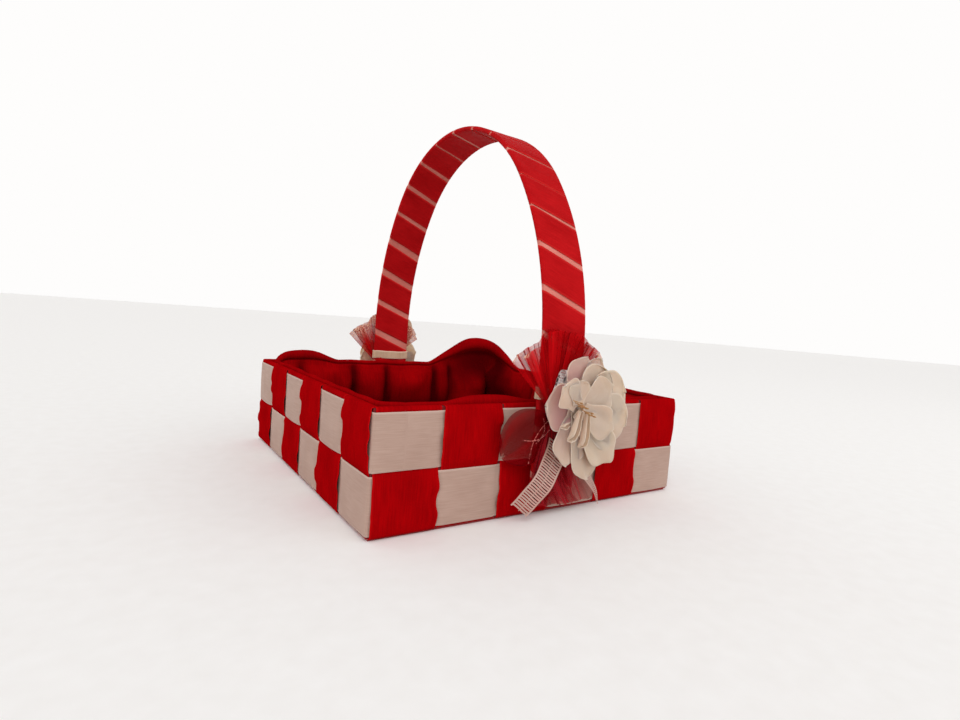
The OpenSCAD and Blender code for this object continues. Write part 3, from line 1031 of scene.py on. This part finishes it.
# %% Foot ties
def foot_tie(place):
    """A cream ribbon tied flat round a leg, a little slack at its lower edge."""
    low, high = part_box(f"{place}_foot_tie")
    width, deep = high.x - low.x - 0.5 * MM, high.y - low.y - 0.5 * MM
    ring = evenly(box_outline(width, deep, 0.8 * MM), 0.8 * MM)[:-1]
    v = np.linspace(0, 1, 8)[:, None]
    middle_y = (low.y + high.y) / 2
    slack = 0.5 * MM * waves(ring[None, :, 0], ring[None, :, 1], 14 * MM, 31) * (1 - v)
    z = low.z + v * (high.z - low.z) + 0.4 * MM * waves(ring[None, :, 0], 0 * v, 20 * MM, 32)
    x = ring[None, :, 0] + 0 * v
    y = middle_y + ring[None, :, 1] + slack * np.sign(ring[None, :, 1])
    edge = smooth((np.abs(2 * v - 1) - 0.7) / 0.3) + 0 * x
    points = np.stack(np.broadcast_arrays(x, y, z), -1)
    decorate(place, "foot_tie", [grid(points, edge, wrap=True)], tie_satin,
             0.3 * MM)


for place in ("front", "back"):
    foot_tie(place)
print("2 foot ties")

# %% [markdown]
# ### Tulle
# A gathered strip of tulle is drawn to nothing at the knot and spreads freely at its other
# edge. Its pleats grow from the knot outward, shallow and soft. The net is so thin that it
# is the streaks between the folds that the eye sees, more than the folds themselves.

# %% Pleated tulle
def pleated(place, start, end, reach, pleats, depth_mm, seed, d, dusted=(), sweep=0, dust=0.945):
    """Net between two directions from the knot, in degrees, `reach` far from it.

    `dusted` lists the stretches of its edge, as shares from start to end, with glitter.
    `sweep` bends its edge round by that many degrees, and `dust` is where glitter starts.
    """
    t = np.linspace(0, 1, pleats * 14)[None, :]
    v = np.linspace(0, 1, 34)[:, None]
    pace = 2 * math.pi * pleats * (t + 0.3 / pleats * waves(t, 0 * t, 0.3, seed + 1))
    size = 0.7 + 0.3 * waves(t, 0 * t, 0.22, seed + 2)
    pleat_turn = math.radians(abs(end - start)) / pleats
    angle = np.radians(start + (end - start) * t)
    angle = angle + 0.2 * pleat_turn * size * np.sin(2 * pace) * smooth(v * 1.4)
    angle = angle + math.radians(sweep) * v ** 2
    flat_reach = np.array([reach(a) for a in angle[-1]])[None, :]
    uneven = waves(t, 0 * t, 0.3, seed) + 0.5 * waves(t, 0 * t, 0.07, seed + 6)
    rim = flat_reach * (1 + 0.02 * uneven)
    r = knot_r * 0.5 + (rim - knot_r * 0.5) * v
    fold = depth_mm * MM * size * np.sin(pace) * (0.3 + 0.7 * v)
    billow = 0.8 * MM * waves(t, 0.3 * v, 0.5, seed + 4) * v
    out = d + fold + billow + (knot_d - 2 * MM - d) * (1 - v) ** 6
    x, z = knot_x + r * np.cos(angle), knot_z + r * np.sin(angle)
    glitter = sum((smooth((t - a) * 30) * smooth((b - t) * 30) for a, b in dusted), 0 * t)
    edge = smooth((v - dust) / (1 - dust)) * glitter + 0 * x
    frayed = (0.2 + 0.25 * waves(t, 0 * t, 0.05, seed + 8)) * smooth((v - 0.6) / 0.4)
    return grid(tray_side(place, x, z, out), edge, np.clip(frayed + 0 * x, 0, 0.8))


def fan(place):
    ends = ((-0.1, 0.12), (0.9, 1.1)) if place == "front" else ((-0.1, 1.1),)
    dust = 0.93 if place == "front" else 0.6

    def reach(angle):
        return fan_r * (0.86 + 0.14 * smooth((math.radians(110) - angle) / math.radians(12)))

    layers = [
        pleated(place, 36, 134, reach, 8, 0.5, 41, tulle_d - 0.2 * MM, ends, dust=dust),
        pleated(place, 42, 127, lambda a: 0.97 * reach(a), 6, 0.4, 44, tulle_d + 1.2 * MM,
                ends, dust=dust),
    ]
    decorate(place, "tulle_fan", layers, fan_net)


def tail(place):
    def reach(angle):
        return min((knot_z - tail_bottom) / abs(math.sin(angle)), 66 * MM)

    layers = [
        pleated(place, -100, -50, reach, 6, 1.1, 51, tulle_d),
        pleated(place, -116, -78, reach, 4, 0.9, 54, tulle_d + 1.2 * MM, sweep=14),
    ]
    decorate(place, "tulle_tail", layers, tail_net)


def nylon_thread(place, start, end, bow, d):
    """A stray shiny thread of the net: an arc between two (x, z) points on the wall."""
    start, end = np.array(start), np.array(end)
    t = np.linspace(0, 1, 24)[:, None]
    run = end - start
    side = np.array([-run[1], run[0]]) / np.linalg.norm(run)
    middle = start + run * t + side * bow * np.sin(math.pi * t)
    wide = np.array([[-0.5, 0.5]]) * 0.4 * MM
    x = middle[:, :1] + side[0] * wide
    z = middle[:, 1:] + side[1] * wide
    # painted highlight: the full edge mark gives the thread the net's pale glitter colour in
    # specks, for the shine of nylon
    return grid(tray_side(place, x, z, d + 0.8 * MM * np.sin(math.pi * t) + 0 * x), 1.0)


def side_loop(place):
    """A loop of tulle: a flattened bag, drawn in at the knot and round at its far end."""
    low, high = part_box("front_tulle_loop")
    far_x, far_z = (low.x + high.x) / 2 - knot_x, (low.z + high.z) / 2 - knot_z
    reach = math.hypot(far_x, far_z) + (high.x - low.x) / 2
    axis = math.atan2(far_z, far_x)
    t = np.linspace(0, 1, 40)[:, None]
    turn = np.linspace(0, 2 * math.pi, 97)[None, :-1]
    wide = 15.5 * MM * np.sin(math.pi * t ** 1.15) ** 0.6 + 1.2 * MM
    crimp = 1 + 0.02 * np.sin(5 * turn + 3 * t)
    along = reach * (0.06 + 0.94 * t) * (1 + 0.04 * np.sin(2 * turn)) + 0 * turn
    across = wide * np.cos(turn) * crimp
    out = tulle_d + 1.7 * MM * np.sin(math.pi * t) ** 0.6 * np.sin(turn)
    out = out + 0.3 * MM * np.sin(5 * turn + 5 * t) * np.sin(math.pi * t)
    x, z = turned_to(axis, along, across, (knot_x, knot_z))
    out = out + (knot_d - 2 * MM - tulle_d) * (1 - t) ** 6
    front = tulle_d + 2.6 * MM
    k = np.array([knot_x, knot_z])
    strays = [
        nylon_thread(place, k + (-4 * MM, -3 * MM), k + (-16 * MM, -27 * MM), -4 * MM, front),
        nylon_thread(place, k + (-8 * MM, -1 * MM), k + (-12 * MM, -16 * MM), 3 * MM, front),
        nylon_thread(place, k + (-2 * MM, -8 * MM), k + (-22 * MM, -13 * MM), 3 * MM, front),
    ]
    bag = grid(tray_side(place, x, z, out), wrap=True)
    decorate(place, "tulle_loop", [bag, *strays], loop_net)


def knot(place):
    """A knot of tulle: a drawn-in ball, wound round with folds."""
    up = np.linspace(0.02, math.pi - 0.02, 40)[:, None]
    turn = np.linspace(0, 2 * math.pi, 81)[None, :-1]
    folds = 0.10 * np.abs(np.sin(3 * turn + 4 * up)) + 0.06 * np.sin(9 * turn - 7 * up)
    r = knot_r * (0.86 + folds * np.sin(up) ** 0.7)
    x = knot_x + r * np.sin(up) * np.cos(turn)
    z = knot_z + r * np.cos(up)
    out = knot_d + r * np.sin(up) * np.sin(turn)
    decorate(place, "tulle_knot", [grid(tray_side(place, x, z, out), wrap=True)],
             knot_net)


for place in ("front", "back"):
    knot(place)
    fan(place)
    tail(place)
    side_loop(place)
print("8 pieces of tulle")

# %% [markdown]
# ### Mesh ribbon
# The mesh ribbon is a ladder of film threads: two broad selvages, a few lengthwise threads
# and a rung every millimetre or so. It is narrow and stiff, so it is laid directly along a
# curve, thread by thread, with nothing in the holes.

# %% Mesh ribbon
RUNG = 1.5 * MM  # the real rungs are about 1 mm apart; drawn this coarse so that they show
RUNG_W = 0.95 * MM


def threads(surface, length, width, narrow_to=1.0, rung_w=RUNG_W):
    """Film threads on a ribbon: `surface(a, b)` places a point a along and b across."""
    grids = []

    def taper(a):
        return 1 + (narrow_to - 1) * a / length

    lengthwise = [(-0.46, 1.2), (0.0, 0.4), (0.46, 1.2)]
    a = np.linspace(0, length, int(length / MM) + 2)[:, None]
    for middle, wide in lengthwise:
        b = (middle * width + np.array([[-0.5, 0.5]]) * wide * MM) * taper(a)
        grids.append(grid(surface(a + 0 * b, b)))
    for rung in np.arange(RUNG / 2, length, RUNG):
        b = np.linspace(-0.5, 0.5, 9)[None, :] * width * taper(rung)
        slant = 0.3 * MM * math.sin(rung / MM * 1.7)
        a2 = rung + np.array([[-0.5], [0.5]]) * rung_w + slant * b / width
        grids.append(grid(surface(a2 + 0.25 * MM * np.sin(b / width * 5), b)))
    return grids


def hanging(place, start, end, bow, twist, d):
    """A ribbon surface on the wall between two (x, z) points, bowed and twisted a little."""
    start, end = np.array(start), np.array(end)
    length = np.linalg.norm(end - start)
    run = (end - start) / length
    side = np.array([-run[1], run[0]])

    def surface(a, b):
        t = a / length
        x = start[0] + run[0] * a + side[0] * (b + bow * np.sin(math.pi * t))
        z = start[1] + run[1] * a + side[1] * (b + bow * np.sin(math.pi * t))
        ripple = 0.3 * MM * np.sin(a / MM / 3)
        out = d + twist * b * (1 - t) + 2.2 * MM * np.sin(math.pi * t) + ripple
        return tray_side(place, x, z, out)

    return surface, length


def mesh_pieces(place):
    """The long tail, the thin pointed one and the upright loop."""
    low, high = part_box("front_mesh_tail")
    width = 14.6 * MM
    start = (knot_x + 4.5 * MM, knot_z - 17 * MM)
    end = (knot_x - 21 * MM, tail_bottom + 1 * MM)
    surface, length = hanging(place, start, end, 3.0 * MM, 0.18, mesh_d + 0.8 * MM)
    piece = decorate(place, "mesh_tail", threads(surface, length, width), silver_film)

    low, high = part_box("front_mesh_point")
    surface, length = hanging(
        place, (low.x + 2.5 * MM, high.z - 1 * MM), (high.x, low.z), 1.2 * MM, 0.3,
        mesh_d + 0.6 * MM,
    )
    decorate(place, "mesh_point", threads(surface, length, 6 * MM, 0.12), silver_film)

    low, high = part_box("front_mesh_loop")
    deep, tall = high.y - low.y - 0.6 * MM, high.z - low.z - 0.6 * MM
    middle_x, middle_z = (low.x + high.x) / 2 + 2 * MM, (low.z + high.z) / 2
    middle_d = -half - (low.y + high.y) / 2
    ring = evenly(box_outline(deep, tall, deep * 0.45, 6), 0.5 * MM)
    loop_length = 0.5 * MM * (len(ring) - 1)

    def loop_surface(a, b):
        at = np.clip(a / loop_length, 0, 1) * (len(ring) - 1)
        index = np.arange(len(ring))
        y, z = np.interp(at, index, ring[:, 0]), np.interp(at, index, ring[:, 1])
        tilt = 0.35
        return tray_side(place, middle_x + b + tilt * z, middle_z + z - 0.1 * b, middle_d + y)

    decorate(place, "mesh_loop", threads(loop_surface, loop_length, 13 * MM, 1.0, 1.3 * MM),
             painted_lit_film)


for place in ("front", "back"):
    mesh_pieces(place)
print("6 pieces of mesh ribbon")

# %% [markdown]
# ### The blossom
# A petal is a small cupped sheet, drawn in at the heart and round at its tip, with a lifted
# or rolled edge. The outer layer has broad petals and two thin pink ones behind them. In
# the inner layer three narrow petals are rolled lengthwise, so that they look like tubes.

# %% Petals
WIDEST = 0.7  # how far along a petal is at its widest
NECK = 0.5  # how wide it still is at the heart


def petal(place, root, angle, length, width, d, lift=0.1, cup=0.1, roll=0.0, tint=0.0, seed=0):
    """One petal from the point `root` (x, z), pointing at `angle` degrees on the wall."""
    v = 1 - np.linspace(1, 0, 34)[:, None] ** 1.7
    u = np.linspace(-1, 1, 27)[None, :]
    tip = np.maximum(v - WIDEST, 0) / (1 - WIDEST)
    round_tip = np.sqrt(np.clip(1 - tip ** 2.3, 0.0004, 1))
    outline = (NECK + (1 - NECK) * smooth(v / WIDEST)) * round_tip
    wobble = 1 + 0.05 * waves(v * 4, np.sign(u) * 3, 2.0, seed)
    middle = length * lift * v
    if roll:
        turn = u * math.pi * roll
        tube = width / 2 / (math.pi * roll) * (0.25 + 0.75 * outline)
        across = tube * np.sin(turn)
        rise = middle + tube * (1 - np.cos(turn))
        along = length * v * (1 - 0.08 * u ** 2)
    else:
        across = u * width / 2 * outline * wobble
        rise = middle + cup * width * (u ** 2) * outline * (1 - 0.6 * v)
        rise = rise + 0.8 * MM * waves(across, v * length * 0.3, 11 * MM, seed + 3) * smooth(v * 2)
        uneven = 0.035 * waves(u * 2, 0 * u, 2.2, seed + 5) - 0.05 * u ** 2
        along = length * v * (1 + uneven * np.minimum(outline * 1.6, 1))
    rise = rise - 1.2 * MM * smooth((v - 0.8) / 0.2) * np.cos(2.4 * u + seed)
    x, z = turned_to(math.radians(angle), along, across, root)
    edge = np.maximum(smooth((np.abs(u) - 0.93) / 0.07), smooth((v - 0.97) / 0.03)) + 0 * x
    return grid(tray_side(place, x, z, d + rise), edge, tint * smooth(1.6 - 1.2 * v))


heart_low, heart_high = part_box("front_stamens")
heart = np.array([(heart_low.x + heart_high.x) / 2, (heart_low.z + heart_high.z) / 2])
outer_d = depth("front_outer_petals", 0)
inner_d = depth("front_inner_petals", 0)
stamen_d = depth("front_stamens", 0)

# From back to front: angle, length, width, lift, cup, tint, measured in degrees and mm
BACKMOST = {"front": (57, 34, 17, 0.00, 0.10, 0.6), "back": (60, 47, 26, 0.00, 0.10, 0.4)}
OUTER = (
    (79, 30, 27, 0.02, 0.06, 0.85),
    (176, 23, 27, 0.06, 0.10, 1.0),
    (-103, 33, 25, 0.06, 0.08, 0.4),
    (-74, 43, 22, 0.03, 0.08, 0.1),
    (47, 30, 27, 0.04, 0.05, 0.15),
    (14, 37, 34, 0.05, 0.04, 0.0),
    (-17, 39, 34, 0.06, 0.05, 0.05),
    (-51, 41, 24, 0.06, 0.06, 0.0),
)
# Root to the right of the heart and above it, angle, length, width, lift, roll
INNER = (
    (6, -1, 32, 24, 22, 0.04, 0.0),
    (5, -2, -26, 27, 20, 0.04, 0.0),
    (0, 1, 140, 17, 19, 0.12, 0.0),
    (0, 1, 95, 14, 16, 0.08, 0.0),
    (-6, -9, 195, 6, 7, 0.10, 0.7),
    (6, -3, -101, 20, 12, 0.06, 0.8),
    (0, -2, -117, 18, 12, 0.12, 0.8),
)


def blossom(place):
    """Both layers of petals."""
    root = heart + (5 * MM, -2 * MM)
    layers = []
    for i, (angle, length, width, lift, cup, tint) in enumerate((BACKMOST[place], *OUTER)):
        start = outer_d + 0.5 * MM * i
        layers.append(petal(place, root, angle, length * MM, width * MM, start, lift, cup,
                            tint=tint, seed=70 + i))
    outer = decorate(place, "outer_petals", layers, petal_satin, 0.3 * MM)

    layers = []
    for i, (right, up, angle, length, width, lift, roll) in enumerate(INNER):
        start = heart + (right * MM, up * MM)
        layers.append(petal(place, start, angle, length * MM, width * MM,
                            inner_d + 0.45 * MM * i, lift, 0.07, roll, tint=0.15, seed=90 + i))
    inner = decorate(place, "inner_petals", layers, petal_satin, 0.3 * MM)


def stamens(place):
    """Short stamens in a row across the heart, each a thread with a knob of paste."""
    grids = []
    rng = np.random.default_rng(95)
    count = 9
    for i in range(count):
        row = (i / (count - 1) - 0.5) * 2
        foot = heart + (5.5 * MM * row + rng.uniform(-1, 1) * MM, -4 * MM * row)
        tip = np.array([*rng.uniform(-1.5, 1.5, 2), rng.uniform(2.5, 5)]) * MM
        t = np.linspace(0, 1, 16)[:, None]
        spin = np.linspace(0, 2 * math.pi, 9)[None, :-1]
        thick = 0.3 * MM + 0.8 * MM * np.exp(-((t - 0.82) / 0.16) ** 4)
        thick = thick * np.sqrt(np.clip(1.01 - t, 0, 1))
        x = foot[0] + tip[0] * t + thick * np.cos(spin)
        z = foot[1] + tip[1] * t + thick * np.sin(spin)
        out = stamen_d - 3 * MM + (tip[2] + 3 * MM) * t + 0 * spin
        grids.append(grid(tray_side(place, x, z, out), wrap=True))
    decorate(place, "stamens", grids, stamen_paste)


for place in ("front", "back"):
    blossom(place)
    stamens(place)
print("2 blossoms")
